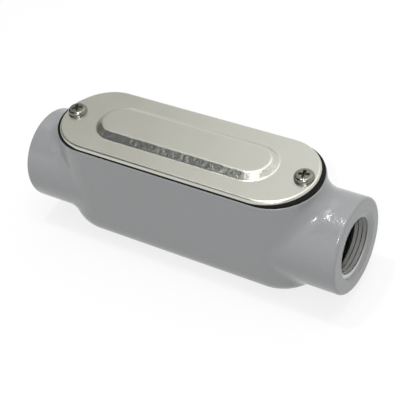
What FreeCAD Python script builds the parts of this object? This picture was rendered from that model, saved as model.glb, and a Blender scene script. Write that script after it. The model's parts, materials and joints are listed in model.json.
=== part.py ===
import FreeCAD, Part
import math
import os

import Sketcher
from FreeCAD import Placement, Rotation, Vector

# A straight-through conduit body of 3/4 trade size. +X runs along the conduit, +Z comes out
# of the cover, and the origin lies under the middle of the belly.

SIZES = [
    # housing casting, outside
    ("rim_length", 122.0, "rim outline, end to end"),
    ("crest_drop", 6.2, "rim above the top of the hubs"),
    ("belly_depth", 4.7, "belly below the underside of the hubs"),
    ("flank_step", 0.23, "flat side beyond the side of the hubs at the parting plane"),
    ("upper_draft", 1.6, "casting draft above the parting plane, degrees"),
    ("lower_draft", 0.6, "casting draft below the parting plane, degrees"),
    ("belly_round", 12.5, "rounding around the bottom of the belly"),
    ("rim_round", 0.5, "rounding around the outside of the rim"),
    ("hub_reach", 13.5, "hub face beyond the end of the rim"),
    ("hub_wall", 6.7, "hub outside its thread"),
    ("hub_edge_round", 1.3, "rounding at the mouth of a hub"),
    ("neck_round", 7.5, "fillet where a hub leaves the body"),
    # housing casting, inside
    ("side_wall", 3.0, "chamber to the side of the rim"),
    ("end_wall", 9.5, "chamber to the end of the rim"),
    ("floor_wall", 3.0, "under the chamber"),
    ("chamber_draft", 1.0, "draft of the chamber's walls, degrees"),
    ("chamber_round", 9.0, "rounding around the floor of the chamber"),
    # hub bores
    ("thread_radius", 13.3, "conduit thread, major radius"),
    ("mouth_chamfer", 1.5, "lead-in at the mouth"),
    ("bushing_step", 2.85, "integral bushing inside the thread radius"),
    ("bushing_length", 5.0, "end of the thread to the chamber"),
    ("bushing_round", 1.2, "lip of the bushing, which wires slide over"),
    # screw bosses
    ("screw_inset", 7.1, "screw axis inside the end of the rim"),
    ("boss_radius", 4.4, "round boss at a tapped hole"),
    ("boss_depth", 13.0, "boss below the rim"),
    ("tapped_depth", 9.0, "tapped hole below the rim"),
    ("drill_angle", 118.0, "point of the tapped hole, degrees"),
    ("screw_clearance", 0.067, "between a screw and its tapped hole"),
    # gasket
    ("gasket_thickness", 1.1, "flat rubber"),
    ("gasket_inset", 0.4, "gasket inside the edge of the rim"),
    ("gasket_end_land", 12.1, "width of the gasket at its ends"),
    ("gasket_side_land", 2.9, "width of the gasket along its sides"),
    ("gasket_hole_gap", 0.5, "gasket around a screw"),
    # cover
    ("cover_side_inset", 0.4, "cover inside the side of the rim"),
    ("cover_end_inset", 1.9, "cover inside the end of the rim"),
    ("cover_sheet", 1.6, "sheet thickness"),
    ("cover_edge_round", 1.2, "rolled top edge"),
    ("cover_hole_gap", 0.3, "cover around a screw"),
    ("panel_end_margin", 12.0, "screw axis to the foot of the raised panel"),
    ("panel_side_margin", 8.4, "side of the cover to the foot of the raised panel"),
    ("panel_rise", 2.3, "raised panel above the flange"),
    ("panel_lean", 52.0, "lean of the panel's flank from upright, degrees"),
    ("foot_bend", 1.2, "bend radius at the foot of the panel, on its upper face"),
    ("crest_bend", 2.0, "bend radius at the crest of the panel, on its upper face"),
    # screws
    ("screw_radius", 2.083, "thread of the screw"),
    ("screw_length", 9.5, "under the head"),
    ("screw_tip", 0.6, "chamfered point"),
    ("head_radius", 4.1, "pan head"),
    ("head_height", 2.1, "pan head"),
    ("head_round", 1.5, "shoulder of the pan head"),
    ("recess_width", 1.3, "one arm of the cross recess"),
    ("recess_span", 4.4, "across two arms of the cross recess"),
    ("recess_depth", 1.5, "depth of the cross recess"),
    ("recess_draft", 14.0, "draft of the recess's walls, degrees"),
    ("left_turn", 38.0, "where the left screw stopped turning, degrees"),
    ("right_turn", 16.0, "where the right screw stopped turning, degrees"),
]

# Sizes and places that follow from the ones above.
HUB_RADIUS = "(sizes.thread_radius + sizes.hub_wall)"
HUB_AXIS = f"(sizes.belly_depth + {HUB_RADIUS})"
AXIS_DROP = f"(sizes.crest_drop + {HUB_RADIUS})"
RIM_HEIGHT = f"({HUB_AXIS} + {AXIS_DROP})"
DRAFT_GROWTH = f"(2 * {AXIS_DROP} * tan(sizes.upper_draft))"
# the upper half is made this much too high, so that the neck fillets can run out at the rim
SPARE_HEIGHT = "sizes.neck_round"
SPARE_GROWTH = f"(2 * {SPARE_HEIGHT} * tan(sizes.upper_draft))"
PARTING_WIDTH = f"(2 * ({HUB_RADIUS} + sizes.flank_step))"
PARTING_LENGTH = f"(sizes.rim_length + {DRAFT_GROWTH})"
RIM_WIDTH = f"({PARTING_WIDTH} - {DRAFT_GROWTH})"
HUB_FACE = "(sizes.rim_length / 2 + sizes.hub_reach)"
CHAMBER_END = "(sizes.rim_length / 2 - sizes.end_wall)"
CHAMBER_WIDTH = f"({RIM_WIDTH} - 2 * sizes.side_wall)"
THREAD_END = f"({CHAMBER_END} + sizes.bushing_length)"
THROAT_RADIUS = "(sizes.thread_radius - sizes.bushing_step)"
SCREW_PLACE = "(sizes.rim_length / 2 - sizes.screw_inset)"
TAPPED_RADIUS = "(sizes.screw_radius + sizes.screw_clearance)"
COVER_LENGTH = "(sizes.rim_length - 2 * sizes.cover_end_inset)"
COVER_WIDTH = f"({RIM_WIDTH} - 2 * sizes.cover_side_inset)"
GASKET_LENGTH = "(sizes.rim_length - 2 * sizes.gasket_inset)"
GASKET_WIDTH = f"({RIM_WIDTH} - 2 * sizes.gasket_inset)"
COVER_SEAT = f"({RIM_HEIGHT} + sizes.gasket_thickness)"
COVER_TOP = f"({COVER_SEAT} + sizes.cover_sheet)"
PANEL_LENGTH = f"(2 * ({SCREW_PLACE} - sizes.panel_end_margin))"
PANEL_WIDTH = f"({COVER_WIDTH} - 2 * sizes.panel_side_margin)"
# the hollow under the panel is this much smaller, which keeps the pressed sheet one thickness
PANEL_HOLLOW = "(2 * sizes.cover_sheet * tan(45 - sizes.panel_lean / 2))"

NEAR = 1e-3

doc = FreeCAD.newDocument("conduit_body")
sheet = doc.addObject("Spreadsheet::Sheet", "sizes")
for row, (alias, value, meaning) in enumerate(SIZES, start=1):
    sheet.set(f"A{row}", alias)
    sheet.set(f"B{row}", str(value))
    sheet.set(f"C{row}", meaning)
    sheet.setAlias(f"B{row}", alias)
doc.recompute()


def amount(expression):
    """The number that an expression gives with the sheet's sizes."""
    result = sheet.evalExpression(expression)
    return float(getattr(result, "Value", result))


def new_body(label):
    body = doc.addObject("PartDesign::Body", label)
    body.Label = label
    return body


def plane_of(body, role):
    return next(item for item in body.Origin.OriginFeatures if item.Role == role)


def new_sketch(body, name, role, offset="0"):
    """A sketch on one of the body's own planes, moved along that plane's normal."""
    sketch = body.newObject("Sketcher::SketchObject", name)
    sketch.AttachmentSupport = (plane_of(body, role), [""])
    sketch.MapMode = "FlatFace"
    sketch.setExpression("AttachmentOffset.Base.z", offset)
    return sketch


def bind(sketch, kind, ends, expression):
    """A dimension of the sketch, tied to the sheet."""
    index = sketch.addConstraint(Sketcher.Constraint(kind, *ends, amount(expression)))
    sketch.setExpression(f"Constraints[{index}]", expression)


def place_point(sketch, geometry, point, across, along):
    """Ties a point of the sketch to its two distances from the sketch's origin."""
    for kind, axis, expression in (("DistanceX", -2, across), ("DistanceY", -1, along)):
        value = amount(expression)
        if abs(value) < NEAR:
            sketch.addConstraint(Sketcher.Constraint("PointOnObject", geometry, point, axis))
        elif value > 0:
            bind(sketch, kind, (-1, 1, geometry, point), expression)
        else:
            bind(sketch, kind, (geometry, point, -1, 1), f"-{expression}")


def stadium(body, name, length, width, height):
    """Two half circles joined by straight sides, with the long way along X."""
    sketch = new_sketch(body, name, "XY_Plane", height)
    radius = amount(width) / 2
    centre = amount(length) / 2 - radius
    quarter = math.pi / 2
    up = Vector(0, 0, 1)
    right_end = Part.Circle(Vector(centre, 0, 0), up, radius)
    left_end = Part.Circle(Vector(-centre, 0, 0), up, radius)
    sketch.addGeometry(Part.LineSegment(Vector(-centre, -radius, 0), Vector(centre, -radius, 0)))
    sketch.addGeometry(Part.ArcOfCircle(right_end, -quarter, quarter))
    sketch.addGeometry(Part.LineSegment(Vector(centre, radius, 0), Vector(-centre, radius, 0)))
    sketch.addGeometry(Part.ArcOfCircle(left_end, quarter, 3 * quarter))
    for first, second in ((0, 1), (1, 2), (2, 3), (3, 0)):
        sketch.addConstraint(Sketcher.Constraint("Tangent", first, 2, second, 1))
    sketch.addConstraint(Sketcher.Constraint("Horizontal", 0))
    sketch.addConstraint(Sketcher.Constraint("Symmetric", 1, 3, 3, 3, -1, 1))
    sketch.addConstraint(Sketcher.Constraint("Equal", 1, 3))
    bind(sketch, "Radius", (1,), f"{width} / 2")
    bind(sketch, "DistanceX", (3, 3, 1, 3), f"{length} - {width}")
    return sketch


def circles(body, name, role, offset, centres, radius):
    """Equal circles at the given centres."""
    sketch = new_sketch(body, name, role, offset)
    for index, (across, along) in enumerate(centres):
        centre = Vector(amount(across), amount(along), 0)
        sketch.addGeometry(Part.Circle(centre, Vector(0, 0, 1), amount(radius)))
        place_point(sketch, index, 3, across, along)
        bind(sketch, "Radius", (index,), radius)
    return sketch


def outline(body, name, role, corners, offset="0"):
    """A closed outline of straight lines through the given corners."""
    sketch = new_sketch(body, name, role, offset)
    points = [Vector(amount(across), amount(along), 0) for across, along in corners]
    for index, point in enumerate(points):
        sketch.addGeometry(Part.LineSegment(point, points[(index + 1) % len(points)]))
    for index in range(len(points)):
        following = (index + 1) % len(points)
        sketch.addConstraint(Sketcher.Constraint("Coincident", index, 2, following, 1))
    for index, (across, along) in enumerate(corners):
        place_point(sketch, index, 1, across, along)
    return sketch


def finish_feature(body, feature):
    body.Tip = feature
    doc.recompute()
    return feature


def extrude(body, kind, name, sketch, length, taper="0", down=False, both_ways=False):
    """A pad or pocket. A positive taper widens it as it leaves the sketch."""
    feature = body.newObject(f"PartDesign::{kind}", name)
    feature.Profile = sketch
    feature.Type = "Length"
    feature.setExpression("Length", length)
    feature.setExpression("TaperAngle", taper)
    feature.Reversed = down if kind == "Pad" else not down
    if both_ways:
        feature.SideType = "Symmetric"
    return finish_feature(body, feature)


def turn(body, kind, name, sketch, axis):
    """A full turn of the sketch about one of its lines."""
    feature = body.newObject(f"PartDesign::{kind}", name)
    feature.Profile = sketch
    feature.ReferenceAxis = (sketch, [axis])
    feature.Angle = 360
    return finish_feature(body, feature)


def dress(body, kind, name, size, wanted):
    """A fillet or chamfer on every edge of the body that passes the test."""
    base = body.Tip
    picked = [f"Edge{i}" for i, edge in enumerate(base.Shape.Edges, start=1) if wanted(edge)]
    feature = body.newObject(f"PartDesign::{kind}", name)
    feature.Base = (base, picked)
    feature.setExpression("Radius" if kind == "Fillet" else "Size", size)
    return finish_feature(body, feature)


def at_height(expression):
    """A test for edges that lie at one height."""
    height = amount(expression)

    def wanted(edge):
        box = edge.BoundBox
        return abs(box.ZMin - height) < NEAR and abs(box.ZMax - height) < NEAR
    return wanted


def around_hub_axis(radius, edge):
    """Whether the whole edge keeps one distance from the conduit's axis."""
    middle = amount(HUB_AXIS)
    return all(abs(math.hypot(p.y, p.z - middle) - amount(radius)) < NEAR
               for p in edge.discretize(Number=9))


def beyond(expression, edge):
    """Whether the edge lies in a plane across the conduit, this far from the middle."""
    box = edge.BoundBox
    place = amount(expression)
    return box.XLength < NEAR and abs(abs(box.XMin) - place) < NEAR


def inside_panel(height):
    """A test for edges at one height that lie within the foot of the cover's raised panel."""
    level = at_height(height)
    half_length = amount(PANEL_LENGTH) / 2 + NEAR
    half_width = amount(PANEL_WIDTH) / 2 + NEAR

    def wanted(edge):
        box = edge.BoundBox
        return level(edge) and max(abs(box.XMin), abs(box.XMax)) < half_length \
            and max(abs(box.YMin), abs(box.YMax)) < half_width
    return wanted


def make_chamber_core():
    """The wiring chamber as a solid, which the housing is cast around."""
    body = new_body("chamber_core")
    mouth = stadium(body, "chamber_outline", f"2 * {CHAMBER_END}", CHAMBER_WIDTH, RIM_HEIGHT)
    extrude(body, "Pad", "core", mouth, f"({RIM_HEIGHT} - sizes.floor_wall)",
            "-sizes.chamber_draft", down=True)
    dress(body, "Fillet", "core_rounding", "sizes.chamber_round", at_height("sizes.floor_wall"))
    return body


def make_housing():
    body = new_body("housing")
    top = stadium(body, "top_outline", f"(sizes.rim_length - {SPARE_GROWTH})",
                  f"({RIM_WIDTH} - {SPARE_GROWTH})", f"({RIM_HEIGHT} + {SPARE_HEIGHT})")
    extrude(body, "Pad", "upper_half", top, f"({AXIS_DROP} + {SPARE_HEIGHT})",
            "sizes.upper_draft", down=True)
    parting = stadium(body, "parting_outline", PARTING_LENGTH, PARTING_WIDTH, HUB_AXIS)
    extrude(body, "Pad", "lower_half", parting, HUB_AXIS, "-sizes.lower_draft", down=True)
    dress(body, "Fillet", "belly_rounding", "sizes.belly_round", at_height("0"))

    # one round bar makes both hubs, and its crossing with the body gets the neck fillets
    bar = circles(body, "hub_outline", "YZ_Plane", "0", [("0", HUB_AXIS)], HUB_RADIUS)
    extrude(body, "Pad", "hubs", bar, f"2 * {HUB_FACE}", both_ways=True)
    dress(body, "Fillet", "neck_fillets", "sizes.neck_round",
          lambda edge: around_hub_axis(HUB_RADIUS, edge) and not beyond(HUB_FACE, edge))
    dress(body, "Fillet", "hub_edges", "sizes.hub_edge_round", lambda edge: beyond(HUB_FACE, edge))
    spare = stadium(body, "spare_outline", "(2 * sizes.rim_length)", "sizes.rim_length", RIM_HEIGHT)
    extrude(body, "Pocket", "rim_face", spare, f"(2 * {SPARE_HEIGHT})")
    dress(body, "Fillet", "rim_edge", "sizes.rim_round", at_height(RIM_HEIGHT))

    # wiring chamber, open at the rim
    core = make_chamber_core()
    chamber = body.newObject("PartDesign::Boolean", "chamber")
    chamber.Type = "Cut"
    chamber.addObject(core)
    finish_feature(body, chamber)
    screws = [(SCREW_PLACE, "0"), (f"-{SCREW_PLACE}", "0")]
    bosses = circles(body, "boss_outline", "XY_Plane", RIM_HEIGHT, screws, "sizes.boss_radius")
    extrude(body, "Pad", "screw_bosses", bosses, "sizes.boss_depth", down=True)

    # bore with its lead-in, thread length, bushing shoulder and throat
    inner_end = f"({CHAMBER_END} - {CHAMBER_WIDTH} / 2)"
    bore = outline(body, "bore_profile", "XZ_Plane", [
        (HUB_FACE, HUB_AXIS),
        (HUB_FACE, f"({HUB_AXIS} + sizes.thread_radius + sizes.mouth_chamfer)"),
        (f"({HUB_FACE} - sizes.mouth_chamfer)", f"({HUB_AXIS} + sizes.thread_radius)"),
        (THREAD_END, f"({HUB_AXIS} + sizes.thread_radius)"),
        (THREAD_END, f"({HUB_AXIS} + {THROAT_RADIUS})"),
        (inner_end, f"({HUB_AXIS} + {THROAT_RADIUS})"),
        (inner_end, HUB_AXIS),
    ])
    axis_line = Part.LineSegment(Vector(0, amount(HUB_AXIS), 0),
                                 Vector(amount(HUB_FACE), amount(HUB_AXIS), 0))
    axis = bore.addGeometry(axis_line, True)
    place_point(bore, axis, 1, "0", HUB_AXIS)
    place_point(bore, axis, 2, HUB_FACE, HUB_AXIS)
    groove = turn(body, "Groove", "right_bore", bore, "Axis0")
    mirror = body.newObject("PartDesign::Mirrored", "left_bore")
    mirror.Originals = [groove]
    mirror.MirrorPlane = (plane_of(body, "YZ_Plane"), [""])
    finish_feature(body, mirror)
    dress(body, "Fillet", "bushing_lips", "sizes.bushing_round",
          lambda edge: beyond(THREAD_END, edge) and around_hub_axis(THROAT_RADIUS, edge))

    holes = circles(body, "tapped_hole_centres", "XY_Plane", RIM_HEIGHT, screws, TAPPED_RADIUS)
    doc.recompute()
    drilled = body.newObject("PartDesign::Hole", "tapped_holes")
    drilled.Profile = holes
    drilled.ThreadType = "None"
    drilled.DepthType = "Dimension"
    drilled.DrillPoint = "Angled"
    drilled.setExpression("Diameter", f"2 * {TAPPED_RADIUS}")
    drilled.setExpression("Depth", "sizes.tapped_depth")
    drilled.setExpression("DrillPointAngle", "sizes.drill_angle")
    finish_feature(body, drilled)
    return body


def make_gasket():
    body = new_body("gasket")
    outside = stadium(body, "gasket_outline", GASKET_LENGTH, GASKET_WIDTH, RIM_HEIGHT)
    extrude(body, "Pad", "gasket_sheet", outside, "sizes.gasket_thickness")
    window = stadium(body, "gasket_window", f"({GASKET_LENGTH} - 2 * sizes.gasket_end_land)",
                     f"({GASKET_WIDTH} - 2 * sizes.gasket_side_land)", RIM_HEIGHT)
    extrude(body, "Pocket", "window", window, "sizes.gasket_thickness")
    holes = circles(body, "gasket_hole_centres", "XY_Plane", RIM_HEIGHT,
                    [(SCREW_PLACE, "0"), (f"-{SCREW_PLACE}", "0")],
                    "(sizes.screw_radius + sizes.gasket_hole_gap)")
    extrude(body, "Pocket", "gasket_holes", holes, "sizes.gasket_thickness")
    return body


def make_cover():
    body = new_body("cover")
    flange = stadium(body, "cover_outline", COVER_LENGTH, COVER_WIDTH, COVER_SEAT)
    extrude(body, "Pad", "flange", flange, "sizes.cover_sheet")
    dress(body, "Fillet", "rolled_edge", "sizes.cover_edge_round", at_height(COVER_TOP))

    # the raised panel is pressed out of the sheet, so its underside follows it
    foot = stadium(body, "panel_foot", PANEL_LENGTH, PANEL_WIDTH, COVER_TOP)
    extrude(body, "Pad", "raised_panel", foot, "sizes.panel_rise", "-sizes.panel_lean")
    crest = f"({COVER_TOP} + sizes.panel_rise)"
    dress(body, "Fillet", "panel_crest", "sizes.crest_bend", at_height(crest))
    dress(body, "Fillet", "panel_foot_bend", "sizes.foot_bend", inside_panel(COVER_TOP))
    hollow = stadium(body, "hollow_outline", f"({PANEL_LENGTH} - {PANEL_HOLLOW})",
                     f"({PANEL_WIDTH} - {PANEL_HOLLOW})", COVER_SEAT)
    extrude(body, "Pocket", "panel_hollow", hollow, "sizes.panel_rise", "-sizes.panel_lean")
    dress(body, "Fillet", "hollow_crest", "sizes.crest_bend - sizes.cover_sheet",
          at_height(f"({COVER_SEAT} + sizes.panel_rise)"))
    dress(body, "Fillet", "hollow_bend", "sizes.foot_bend + sizes.cover_sheet",
          inside_panel(COVER_SEAT))

    holes = circles(body, "cover_hole_centres", "XY_Plane", COVER_SEAT,
                    [(SCREW_PLACE, "0"), (f"-{SCREW_PLACE}", "0")],
                    "(sizes.screw_radius + sizes.cover_hole_gap)")
    extrude(body, "Pocket", "cover_holes", holes, "sizes.cover_sheet")
    return body


def make_screw(label, place, turned):
    """A pan-head machine screw, modelled about its own axis with its seat at zero."""
    body = new_body(label)
    profile = outline(body, f"{label}_profile", "XZ_Plane", [
        ("0", "sizes.head_height"),
        ("sizes.head_radius", "sizes.head_height"),
        ("sizes.head_radius", "0"),
        ("sizes.screw_radius", "0"),
        ("sizes.screw_radius", "-(sizes.screw_length - sizes.screw_tip)"),
        ("(sizes.screw_radius - sizes.screw_tip)", "-sizes.screw_length"),
        ("0", "-sizes.screw_length"),
    ])
    turn(body, "Revolution", f"{label}_blank", profile, "V_Axis")
    top = at_height("sizes.head_height")
    dress(body, "Fillet", f"{label}_shoulder", "sizes.head_round", top)
    half_span = "(sizes.recess_span / 2)"
    half_width = "(sizes.recess_width / 2)"
    arm = outline(body, f"{label}_recess_arm", "XY_Plane", [
        (f"-{half_span}", f"-{half_width}"),
        (half_span, f"-{half_width}"),
        (half_span, half_width),
        (f"-{half_span}", half_width),
    ], "sizes.head_height")
    slot = extrude(body, "Pocket", f"{label}_slot", arm, "sizes.recess_depth",
                   "-sizes.recess_draft", down=True)
    cross = body.newObject("PartDesign::PolarPattern", f"{label}_cross")
    cross.Originals = [slot]
    cross.Axis = (arm, ["N_Axis"])
    cross.Occurrences = 2
    cross.Angle = 90
    finish_feature(body, cross)
    body.Placement = Placement(Vector(), Rotation(Vector(0, 0, 1), amount(turned)))
    body.setExpression("Placement.Rotation.Angle", turned)
    body.setExpression("Placement.Base.x", place)
    body.setExpression("Placement.Base.z", COVER_TOP)
    return body


pieces = [
    make_housing(),
    make_gasket(),
    make_cover(),
    make_screw("screw_left", f"-{SCREW_PLACE}", "sizes.left_turn"),
    make_screw("screw_right", SCREW_PLACE, "sizes.right_turn"),
]
doc.recompute()

for item in doc.Objects:
    if "Invalid" in item.State or "Error" in item.State:
        raise RuntimeError(f"{item.Name} did not compute: {item.State}")
for piece in pieces:
    if piece.Shape.isNull() or not piece.Shape.isValid() or len(piece.Shape.Solids) != 1:
        raise RuntimeError(f"{piece.Label} is not one valid solid")

os.makedirs("parts", exist_ok=True)
for piece in pieces:
    piece.Shape.exportStep(f"parts/{piece.Label}.step")
    box = piece.Shape.optimalBoundingBox()
    print(f"{piece.Label}: {piece.Shape.Volume / 1000:.2f} cm3,"
          f" x {box.XMin:.2f} to {box.XMax:.2f}, y {box.YMin:.2f} to {box.YMax:.2f},"
          f" z {box.ZMin:.2f} to {box.ZMax:.2f}")
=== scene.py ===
import bmesh
import bpy
import json
import math
from mathutils import Matrix, Vector


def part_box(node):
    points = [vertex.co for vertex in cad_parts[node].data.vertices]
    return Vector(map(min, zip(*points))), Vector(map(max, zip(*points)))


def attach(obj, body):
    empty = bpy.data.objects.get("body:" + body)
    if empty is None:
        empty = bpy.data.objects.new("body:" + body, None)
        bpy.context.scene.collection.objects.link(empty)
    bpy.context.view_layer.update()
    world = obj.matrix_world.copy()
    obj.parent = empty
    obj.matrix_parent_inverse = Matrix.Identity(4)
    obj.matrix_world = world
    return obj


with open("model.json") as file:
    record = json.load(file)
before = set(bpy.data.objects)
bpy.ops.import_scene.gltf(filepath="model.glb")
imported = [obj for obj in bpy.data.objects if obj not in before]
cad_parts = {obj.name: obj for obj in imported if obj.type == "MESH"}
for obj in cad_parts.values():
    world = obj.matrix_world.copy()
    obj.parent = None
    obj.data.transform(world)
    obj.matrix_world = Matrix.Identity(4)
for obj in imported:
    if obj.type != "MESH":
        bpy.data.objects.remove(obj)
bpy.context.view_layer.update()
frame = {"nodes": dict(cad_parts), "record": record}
nodes = frame["nodes"]
print("frame loaded:", ", ".join(sorted(nodes)))


def linear(hexColour):  # "#rrggbb" to the linear values that a shader takes
    parts = [int(hexColour[i:i + 2], 16) / 255 for i in (1, 3, 5)]
    return [p / 12.92 if p <= 0.04045 else ((p + 0.055) / 1.055) ** 2.4 for p in parts] + [1.0]


def addNode(owner, kind, settings=None, inputs=None, links=None):  # owner: a material or the world
    node = owner.node_tree.nodes.new(kind)
    for name, value in (settings or {}).items():
        setattr(node, name, value)
    for name, value in (inputs or {}).items():
        node.inputs[name].default_value = value
    for name, socket in (links or {}).items():
        owner.node_tree.links.new(socket, node.inputs[name])
    return node


def newMaterial(name, colour, metallic, roughness):
    material = bpy.data.materials.new(name)
    material.use_nodes = True
    shader = material.node_tree.nodes["Principled BSDF"]
    shader.inputs["Base Color"].default_value = linear(colour)
    shader.inputs["Metallic"].default_value = metallic
    shader.inputs["Roughness"].default_value = roughness
    return material, shader


def wear(node, material):  # a CAD node takes its finish
    node.data.materials.clear()
    node.data.materials.append(material)


camera = {
    "azimuth": 38.874,    # degrees, from straight in front towards the right hub
    "elevation": 42.440,
    "roll": -10.814,
    "distance": 0.4503,   # from the aim point, along the view
    "aside": 0.00583,     # and moved sideways and up across it
    "above": -0.02189,
    "aim": (0, 0, 0.0522),
    "lens": 100.98,
    "sensor": 36,
    "nearest": 0.01,      # what the lens can still see
}


def placeCamera():
    azimuth, elevation, roll = (math.radians(camera[k]) for k in ("azimuth", "elevation", "roll"))
    outwards = Vector((math.sin(azimuth), -math.cos(azimuth), 0))
    back = math.cos(elevation) * outwards + Vector((0, 0, math.sin(elevation)))
    level = Vector((math.cos(azimuth), math.sin(azimuth), 0))
    upright = back.cross(level)
    right = math.cos(roll) * level + math.sin(roll) * upright
    up = math.cos(roll) * upright - math.sin(roll) * level
    place = Vector(camera["aim"]) + camera["distance"] * back
    place += camera["aside"] * right + camera["above"] * up
    data = bpy.data.cameras.new("camera")
    data.lens = camera["lens"]
    data.sensor_width = camera["sensor"]
    data.clip_start = camera["nearest"]
    view = bpy.data.objects.new("camera", data)
    view.matrix_world = Matrix.Translation(place) @ Matrix((right, up, back)).transposed().to_4x4()
    bpy.context.scene.collection.objects.link(view)
    bpy.context.scene.camera = view


placeCamera()
print("camera placed")


# The CAD bore is plain, at the outside of the thread, so the thread is a lining that stands inwards
# from it. Its back lies in the casting, and a steep lead-in cone trims the turns at the mouth.
hub = next(mount for mount in frame["record"]["mounts"] if mount["name"] == "hub_right")
pipeThread = {
    "pitch": 0.0254 / 14,      # 14 turns to the inch
    "bore": hub["dims"]["r_mm"] / 1000,
    "axisHeight": hub["pos_m"][2],
    "innerEnd": hub["pos_m"][0] - hub["dims"]["length_mm"] / 2000,
    "mouth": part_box("housing")[1].x,
    "height": 0.00138,         # crest inside the bore
    "crestWidth": 0.00026,
    "valley": 0.00015,         # valley outside the bore, inside the metal
    "back": 0.0016,
    "mouthGap": 0.0002,        # the lining ends this far inside the face
    "leadIn": 0.0013,          # lead-in cone outside the bore, at the face
    "leadInSlope": 4.0,        # how fast the cone narrows with depth
    "spareTurns": 1.5,         # cut before the inner end, and cut off again
    "stepsPerTurn": 96,
}


def setRadius(vert, radius):
    t = pipeThread
    grow = radius / math.hypot(vert.co.y, vert.co.z - t["axisHeight"])
    vert.co.y *= grow
    vert.co.z = t["axisHeight"] + (vert.co.z - t["axisHeight"]) * grow


def makePipeThread(name, side):
    t = pipeThread
    crest, valley = t["bore"] - t["height"], t["bore"] + t["valley"]
    start = t["innerEnd"] - t["spareTurns"] * t["pitch"]
    end = t["mouth"] - t["mouthGap"]
    turns = math.ceil((end - start) / t["pitch"]) + 2
    mesh = bmesh.new()
    profile = [(-t["pitch"] / 2, valley), (-t["crestWidth"] / 2, crest),
               (t["crestWidth"] / 2, crest), (t["pitch"] / 2, valley)]
    corners = [mesh.verts.new((start + along, 0, t["axisHeight"] + out)) for along, out in profile]
    line = [mesh.edges.new(pair) for pair in zip(corners, corners[1:])]
    bmesh.ops.spin(mesh, geom=corners + line, cent=(0, 0, t["axisHeight"]), axis=(1, 0, 0),
                   dvec=(t["pitch"] / t["stepsPerTurn"], 0, 0), angle=2 * math.pi * turns,
                   steps=turns * t["stepsPerTurn"], use_duplicate=False)
    bmesh.ops.remove_doubles(mesh, verts=mesh.verts, dist=2e-6)
    for place, facing in ((t["innerEnd"], -1), (end, 1)):
        everything = mesh.verts[:] + mesh.edges[:] + mesh.faces[:]
        bmesh.ops.bisect_plane(mesh, geom=everything, dist=1e-7, plane_co=(place, 0, 0),
                               plane_no=(facing, 0, 0), clear_outer=True)
    for vert in mesh.verts:  # the lead-in cone trims what stands inside it
        least = t["bore"] + t["leadIn"] - t["leadInSlope"] * (t["mouth"] - vert.co.x)
        if math.hypot(vert.co.y, vert.co.z - t["axisHeight"]) < least:
            setRadius(vert, least)
    rims = [edge for edge in mesh.edges if edge.is_boundary]
    walls = bmesh.ops.extrude_edge_only(mesh, edges=rims)["geom"]
    for vert in (item for item in walls if isinstance(item, bmesh.types.BMVert)):
        setRadius(vert, t["bore"] + t["back"])
    bmesh.ops.bridge_loops(mesh, edges=[edge for edge in mesh.edges if edge.is_boundary])
    if side < 0:
        bmesh.ops.rotate(mesh, verts=mesh.verts, cent=(0, 0, 0),
                         matrix=Matrix.Rotation(math.pi, 3, "Z"))
    bmesh.ops.recalc_face_normals(mesh, faces=mesh.faces)
    data = bpy.data.meshes.new(name)
    mesh.to_mesh(data)
    mesh.free()
    piece = bpy.data.objects.new(name, data)
    bpy.context.scene.collection.objects.link(piece)
    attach(piece, "housing")
    return piece


threads = [makePipeThread("pipe_thread_right", 1), makePipeThread("pipe_thread_left", -1)]
print("threads cut:", sum(len(piece.data.polygons) for piece in threads), "faces")


# Grey epoxy enamel baked on a die casting: glossy, with the orange peel of sprayed powder, which
# breaks a lamp's reflection into sparks. The bores were cut afterwards and are bare, dull metal.
enamel = {
    "colour": "#8f9091",
    "smoothest": 0.1,
    "roughest": 0.26,
    "peelSize": 0.0014,      # metres between the humps of the orange peel
    "peelHeight": 0.00012,
    "grainSize": 0.0007,     # fine casting grain under the paint
    "grainHeight": 0.000014,
    "bushingLength": 0.005,  # the cut shoulder behind the thread
    "boreReach": 0.00003,    # what is within this of the bore, or nearer the axis, is cut metal
    "boreColour": "#9d9c98",
}


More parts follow.
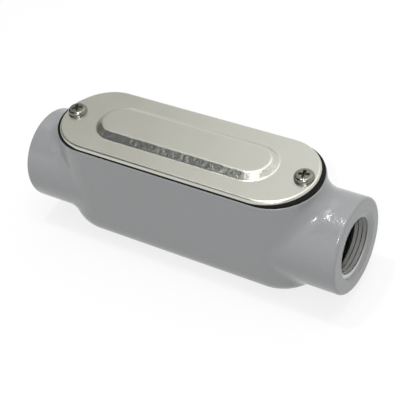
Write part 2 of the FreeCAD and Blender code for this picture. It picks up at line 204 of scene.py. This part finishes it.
def makeEnamel():
    e = enamel
    material, shader = newMaterial("grey_enamel_on_casting", e["colour"], 0, e["roughest"])
    where = addNode(material, "ShaderNodeTexCoord").outputs["Object"]
    across = addNode(material, "ShaderNodeMapping",
                     inputs={"Location": (0, 0, -pipeThread["axisHeight"]), "Scale": (0, 1, 1)},
                     links={"Vector": where})
    fromAxis = addNode(material, "ShaderNodeVectorMath", {"operation": "LENGTH"},
                       links={0: across.outputs[0]})
    inside = addNode(material, "ShaderNodeMath", {"operation": "LESS_THAN"},
                     {1: pipeThread["bore"] + e["boreReach"]}, {0: fromAxis.outputs["Value"]})
    parts = addNode(material, "ShaderNodeSeparateXYZ", links={0: where})
    along = addNode(material, "ShaderNodeMath", {"operation": "ABSOLUTE"},
                    links={0: parts.outputs["X"]})
    inHub = addNode(material, "ShaderNodeMath", {"operation": "GREATER_THAN"},
                    {1: pipeThread["innerEnd"] - e["bushingLength"]}, {0: along.outputs[0]})
    bare = addNode(material, "ShaderNodeMath", {"operation": "MULTIPLY"},
                   links={0: inside.outputs[0], 1: inHub.outputs[0]}).outputs[0]
    peel = addNode(material, "ShaderNodeTexNoise",
                   inputs={"Scale": 1 / e["peelSize"], "Detail": 1.0}, links={"Vector": where})
    grain = addNode(material, "ShaderNodeTexNoise",
                    inputs={"Scale": 1 / e["grainSize"], "Detail": 2.0}, links={"Vector": where})
    peelBump = addNode(material, "ShaderNodeBump", inputs={"Distance": e["peelHeight"]},
                       links={"Height": peel.outputs[0]})
    grainBump = addNode(material, "ShaderNodeBump", inputs={"Distance": e["grainHeight"]},
                        links={"Height": grain.outputs[0], "Normal": peelBump.outputs[0]})
    gloss = addNode(material, "ShaderNodeMapRange",
                    inputs={"To Min": e["smoothest"], "To Max": e["roughest"]},
                    links={"Value": grain.outputs[0]})
    tint = addNode(material, "ShaderNodeMix", {"data_type": "RGBA"}, links={"Factor": bare})
    tint.inputs["A"].default_value = linear(e["colour"])
    tint.inputs["B"].default_value = linear(e["boreColour"])
    links = material.node_tree.links
    links.new(tint.outputs["Result"], shader.inputs["Base Color"])
    links.new(bare, shader.inputs["Metallic"])
    links.new(gloss.outputs[0], shader.inputs["Roughness"])
    links.new(grainBump.outputs[0], shader.inputs["Normal"])
    return material


# Pipe thread tapped in the casting: pale half-bright metal with fine tap marks, enamel that ran in
# over the lead-in, and painted shade in the deep turns, whose colour darkens away from the mouth.
cutMetal = {
    "colour": "#c8c8c6",
    # painted shade: the near-black colour given to the deep turns, where little light reaches
    "deepShadeColour": "#2c2c2b",
    "roughness": 0.2,
    "metallic": 0.5,
    "markSize": 0.0009,
    "markHeight": 0.00006,
    "paintDepth": 0.0010,     # how far the enamel reaches in from the face
    "paintFade": 0.0004,
    "shadeDepth": 0.0066,       # where the painted shade of the deep turns starts
    "shadeFade": 0.0015,
}


def makeCutMetal():
    c = cutMetal
    material, shader = newMaterial("tapped_cast_metal", c["colour"], c["metallic"], c["roughness"])
    where = addNode(material, "ShaderNodeTexCoord").outputs["Object"]
    parts = addNode(material, "ShaderNodeSeparateXYZ", links={0: where})
    along = addNode(material, "ShaderNodeMath", {"operation": "ABSOLUTE"},
                    links={0: parts.outputs["X"]})
    paintEnd = pipeThread["mouth"] - c["paintDepth"]
    shadeEnd = pipeThread["mouth"] - c["shadeDepth"]
    paint = addNode(material, "ShaderNodeMapRange",
                    inputs={"From Min": paintEnd - c["paintFade"], "From Max": paintEnd},
                    links={"Value": along.outputs[0]})
    # painted shade: the thread colour fades to near black in the deep turns, away from the mouth
    unshaded = addNode(material, "ShaderNodeMapRange",
                    inputs={"From Min": shadeEnd - c["shadeFade"], "From Max": shadeEnd},
                    links={"Value": along.outputs[0]})
    metalTint = addNode(material, "ShaderNodeMix", {"data_type": "RGBA"},
                        links={"Factor": unshaded.outputs[0]})
    metalTint.inputs["A"].default_value = linear(c["deepShadeColour"])
    metalTint.inputs["B"].default_value = linear(c["colour"])
    tint = addNode(material, "ShaderNodeMix", {"data_type": "RGBA"},
                   links={"Factor": paint.outputs[0], "A": metalTint.outputs["Result"]})
    tint.inputs["B"].default_value = linear(enamel["colour"])
    metal = addNode(material, "ShaderNodeMapRange",
                    inputs={"To Min": c["metallic"], "To Max": 0.0},
                    links={"Value": paint.outputs[0]})
    marks = addNode(material, "ShaderNodeTexNoise",
                    inputs={"Scale": 1 / c["markSize"], "Detail": 2.0}, links={"Vector": where})
    bump = addNode(material, "ShaderNodeBump", inputs={"Distance": c["markHeight"]},
                   links={"Height": marks.outputs[0]})
    links = material.node_tree.links
    links.new(tint.outputs["Result"], shader.inputs["Base Color"])
    links.new(metal.outputs[0], shader.inputs["Metallic"])
    links.new(bump.outputs[0], shader.inputs["Normal"])
    return material


headHeight = 0.0021  # of the screws
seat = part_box("screw_right")[1].z - headHeight  # the flat of the cover, which the heads sit on


# Zinc-plated steel sheet, pressed: satin, faintly clouded, and crinkled on the flanks of the
# panel, where the die stretched it.
cover = {
    "colour": "#c8c8be",
    "smoothest": 0.26,
    "roughest": 0.36,
    "cloudSize": 0.012,
    "stretchSize": 0.0022,
    "stretchHeight": 0.0004,
    "flankInset": 0.0001,    # the crinkles fade in from just inside the panel's foot and crest
    "flankBlend": 0.0005,
}


def makeCoverSheet():
    c = cover
    material, shader = newMaterial("zinc_plated_pressed_sheet", c["colour"], 1, c["roughest"])
    where = addNode(material, "ShaderNodeTexCoord").outputs["Object"]
    height = addNode(material, "ShaderNodeSeparateXYZ", links={0: where}).outputs["Z"]
    foot = seat + c["flankInset"]
    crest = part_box("cover")[1].z - c["flankInset"]
    above = addNode(material, "ShaderNodeMapRange",
                    inputs={"From Min": foot, "From Max": foot + c["flankBlend"]},
                    links={"Value": height})
    below = addNode(material, "ShaderNodeMapRange",
                    inputs={"From Min": crest, "From Max": crest - c["flankBlend"]},
                    links={"Value": height})
    flank = addNode(material, "ShaderNodeMath", {"operation": "MULTIPLY"},
                    links={0: above.outputs[0], 1: below.outputs[0]}).outputs[0]
    cloud = addNode(material, "ShaderNodeTexNoise",
                    inputs={"Scale": 1 / c["cloudSize"], "Detail": 3.0}, links={"Vector": where})
    rough = addNode(material, "ShaderNodeMapRange",
                    inputs={"To Min": c["smoothest"], "To Max": c["roughest"]},
                    links={"Value": cloud.outputs[0]})
    stretch = addNode(material, "ShaderNodeTexNoise",
                      inputs={"Scale": 1 / c["stretchSize"], "Detail": 3.0},
                      links={"Vector": where})
    level = addNode(material, "ShaderNodeMath", {"operation": "SUBTRACT"}, {1: 0.5},
                    {0: stretch.outputs[0]})
    stretched = addNode(material, "ShaderNodeMath", {"operation": "MULTIPLY"},
                        links={0: level.outputs[0], 1: flank})
    bump = addNode(material, "ShaderNodeBump", inputs={"Distance": c["stretchHeight"]},
                   links={"Height": stretched.outputs[0]})
    links = material.node_tree.links
    links.new(rough.outputs[0], shader.inputs["Roughness"])
    links.new(bump.outputs[0], shader.inputs["Normal"])
    return material


# Black neoprene sheet, die cut: dull and very dark, with a slight bloom.
gasket = {
    "darkest": "#040405",
    "palest": "#0b0b0c",
    "roughness": 0.75,
    "specular": 0.2,
    "bloomSize": 0.004,
}


def makeGasketRubber():
    g = gasket
    material, shader = newMaterial("black_neoprene", g["darkest"], 0, g["roughness"])
    shader.inputs["Specular IOR Level"].default_value = g["specular"]
    where = addNode(material, "ShaderNodeTexCoord").outputs["Object"]
    bloom = addNode(material, "ShaderNodeTexNoise",
                    inputs={"Scale": 1 / g["bloomSize"], "Detail": 3.0}, links={"Vector": where})
    tint = addNode(material, "ShaderNodeMix", {"data_type": "RGBA"},
                   links={"Factor": bloom.outputs[0]})
    tint.inputs["A"].default_value = linear(g["darkest"])
    tint.inputs["B"].default_value = linear(g["palest"])
    material.node_tree.links.new(tint.outputs["Result"], shader.inputs["Base Color"])
    return material


# Plated machine screws: satin steel with small pits, and a rolled thread below the head.
screwSteel = {
    "colour": "#83827a",
    "roughness": 0.24,
    "pitSize": 0.0009,
    "pitHeight": 0.00006,
    "pitch": 0.0254 / 32,     # 32 turns to the inch
    "threadDepth": 0.0005,
    "threadGap": 0.0001,      # the thread starts this far under the head
}


def makeScrewSteel(name, x):
    s = screwSteel
    material, shader = newMaterial(name, s["colour"], 1, s["roughness"])
    where = addNode(material, "ShaderNodeTexCoord").outputs["Object"]
    centred = addNode(material, "ShaderNodeMapping", inputs={"Location": (-x, 0, -seat)},
                      links={"Vector": where})
    parts = addNode(material, "ShaderNodeSeparateXYZ", links={0: centred.outputs[0]})
    angle = addNode(material, "ShaderNodeMath", {"operation": "ARCTAN2"},
                    links={0: parts.outputs["Y"], 1: parts.outputs["X"]})
    rise = addNode(material, "ShaderNodeMath", {"operation": "MULTIPLY"},
                   {1: -s["pitch"] / (2 * math.pi)}, {0: angle.outputs[0]})
    turned = addNode(material, "ShaderNodeMath", {"operation": "ADD"},
                     links={0: parts.outputs["Z"], 1: rise.outputs[0]})
    ridge = addNode(material, "ShaderNodeMath", {"operation": "PINGPONG"}, {1: s["pitch"] / 2},
                    {0: turned.outputs[0]})
    height = addNode(material, "ShaderNodeMath", {"operation": "MULTIPLY"}, {1: 2 / s["pitch"]},
                     {0: ridge.outputs[0]})
    belowHead = addNode(material, "ShaderNodeMath", {"operation": "LESS_THAN"},
                        {1: -s["threadGap"]}, {0: parts.outputs["Z"]})
    thread = addNode(material, "ShaderNodeMath", {"operation": "MULTIPLY"},
                     links={0: height.outputs[0], 1: belowHead.outputs[0]})
    threadBump = addNode(material, "ShaderNodeBump", inputs={"Distance": s["threadDepth"]},
                         links={"Height": thread.outputs[0]})
    pits = addNode(material, "ShaderNodeTexNoise",
                   inputs={"Scale": 1 / s["pitSize"], "Detail": 2.0},
                   links={"Vector": centred.outputs[0]})
    bump = addNode(material, "ShaderNodeBump", inputs={"Distance": s["pitHeight"]},
                   links={"Height": pits.outputs[0], "Normal": threadBump.outputs[0]})
    material.node_tree.links.new(bump.outputs[0], shader.inputs["Normal"])
    return material


wear(nodes["housing"], makeEnamel())
wear(nodes["cover"], makeCoverSheet())
wear(nodes["gasket"], makeGasketRubber())
screwX = (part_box("screw_right")[0].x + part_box("screw_right")[1].x) / 2
wear(nodes["screw_left"], makeScrewSteel("plated_steel_left", -screwX))
wear(nodes["screw_right"], makeScrewSteel("plated_steel_right", screwX))
threadFinish = makeCutMetal()
for piece in threads:
    piece.data.materials.append(threadFinish)
print("finishes made")


studio = {
    "floorSize": 3.0,
    "floorDrop": 0.0002,       # under the part, so that nothing lies in one plane with it
    "floorColour": "#b4b4b4",  # for the light that it throws back on the part
    "floorSeen": "#f0f0f0",
    "floorGlow": 0.75,         # share of plain white in what is seen of it
    "worldLight": 0.6,
    "lamps": [
        # name, direction from the part, distance, width, power in watts
        ("overhead", (0.18, 0.0, 0.98), 0.8, 0.3, 1.3),
        ("spark", (-0.14, 0.0, 0.99), 0.9, 0.07, 1.7),
        ("back", (0.2, 0.6, 0.8), 0.8, 0.5, 0.6),
        ("rightFront", (0.37, -0.62, 0.68), 0.9, 0.04, 2.5),
    ],
    "cards": [
        # name, direction from the part, distance, width, colour
        ("darkFront", (-0.60, -0.34, 0.72), 0.8, 0.70, "#353d4a"),
        ("darkLeft", (-0.95, 0.05, 0.28), 0.8, 0.5, "#6a6862"),
        ("greyBack", (-0.80, 0.45, 0.45), 0.8, 0.6, "#e2e2de"),
        ("greyFront", (0.62, -0.56, 0.50), 0.8, 0.55, "#c4c4c0"),
        ("darkRight", (0.58, 0.05, 0.82), 0.7, 0.12, "#6c6e72"),
    ],
    "cardRoughness": 0.9,
    "aim": (0, 0, 0.04),
}


def raysThatSee(owner):  # 1 for camera, mirror and glass rays, 0 for the rays that carry light
    path = addNode(owner, "ShaderNodeLightPath")
    either = addNode(owner, "ShaderNodeMath", {"operation": "MAXIMUM"},
                     links={0: path.outputs["Is Camera Ray"], 1: path.outputs["Is Glossy Ray"]})
    return addNode(owner, "ShaderNodeMath", {"operation": "MAXIMUM"},
                   links={0: either.outputs[0], 1: path.outputs["Is Transmission Ray"]}).outputs[0]


def facingAim(direction, distance):  # where a lamp or card stands, and how it faces the part
    towards = Vector(direction).normalized()
    turn = towards.to_track_quat("Z", "Y").to_matrix().to_4x4()
    return Matrix.Translation(Vector(studio["aim"]) + distance * towards) @ turn


def makeFloor():
    mesh = bmesh.new()
    bmesh.ops.create_grid(mesh, x_segments=1, y_segments=1, size=studio["floorSize"] / 2)
    bmesh.ops.translate(mesh, verts=mesh.verts, vec=(0, 0, -studio["floorDrop"]))
    data = bpy.data.meshes.new("floor")
    mesh.to_mesh(data)
    mesh.free()
    floor = bpy.data.objects.new("floor", data)
    bpy.context.scene.collection.objects.link(floor)
    # matt paper, white to the camera and in reflections, with the part's shadow on it
    material, shader = newMaterial("white_paper", studio["floorSeen"], 0, 0.9)
    seen = raysThatSee(material)
    tint = addNode(material, "ShaderNodeMix", {"data_type": "RGBA"}, links={"Factor": seen})
    tint.inputs["A"].default_value = linear(studio["floorColour"])
    tint.inputs["B"].default_value = linear(studio["floorSeen"])
    glow = addNode(material, "ShaderNodeEmission", inputs={"Color": (1, 1, 1, 1), "Strength": 1.0})
    share = addNode(material, "ShaderNodeMath", {"operation": "MULTIPLY"},
                    {1: studio["floorGlow"]}, {0: seen})
    mix = addNode(material, "ShaderNodeMixShader",
                  links={0: share.outputs[0], 1: shader.outputs[0], 2: glow.outputs[0]})
    output = material.node_tree.nodes["Material Output"]
    material.node_tree.links.new(tint.outputs["Result"], shader.inputs["Base Color"])
    material.node_tree.links.new(mix.outputs[0], output.inputs["Surface"])
    data.materials.append(material)


def makeWorld():
    world = bpy.data.worlds.new("studio")
    world.use_nodes = True
    bpy.context.scene.world = world
    background = world.node_tree.nodes["Background"]
    background.inputs["Color"].default_value = (1, 1, 1, 1)
    seen = raysThatSee(world)
    strength = addNode(world, "ShaderNodeMapRange",
                       inputs={"To Min": studio["worldLight"], "To Max": 1.0},
                       links={"Value": seen})
    world.node_tree.links.new(strength.outputs[0], background.inputs["Strength"])


def makeCards():  # boards that the metal reflects, out of the camera's sight
    for name, direction, distance, width, colour in studio["cards"]:
        mesh = bmesh.new()
        bmesh.ops.create_grid(mesh, x_segments=1, y_segments=1, size=width / 2)
        bmesh.ops.transform(mesh, matrix=facingAim(direction, distance), verts=mesh.verts)
        data = bpy.data.meshes.new(name)
        mesh.to_mesh(data)
        mesh.free()
        data.materials.append(newMaterial(name, colour, 0, studio["cardRoughness"])[0])
        card = bpy.data.objects.new(name, data)
        card.visible_camera = False
        card.visible_diffuse = False
        card.visible_shadow = False
        bpy.context.scene.collection.objects.link(card)


def makeLamps():
    for name, direction, distance, width, power in studio["lamps"]:
        data = bpy.data.lights.new(name, "AREA")
        data.shape = "SQUARE"
        data.size = width
        data.energy = power
        lamp = bpy.data.objects.new(name, data)
        lamp.matrix_world = facingAim(direction, distance)
        bpy.context.scene.collection.objects.link(lamp)


makeFloor()
makeWorld()
makeCards()
makeLamps()
bpy.context.scene.view_settings.view_transform = "Standard"
print("studio lit")
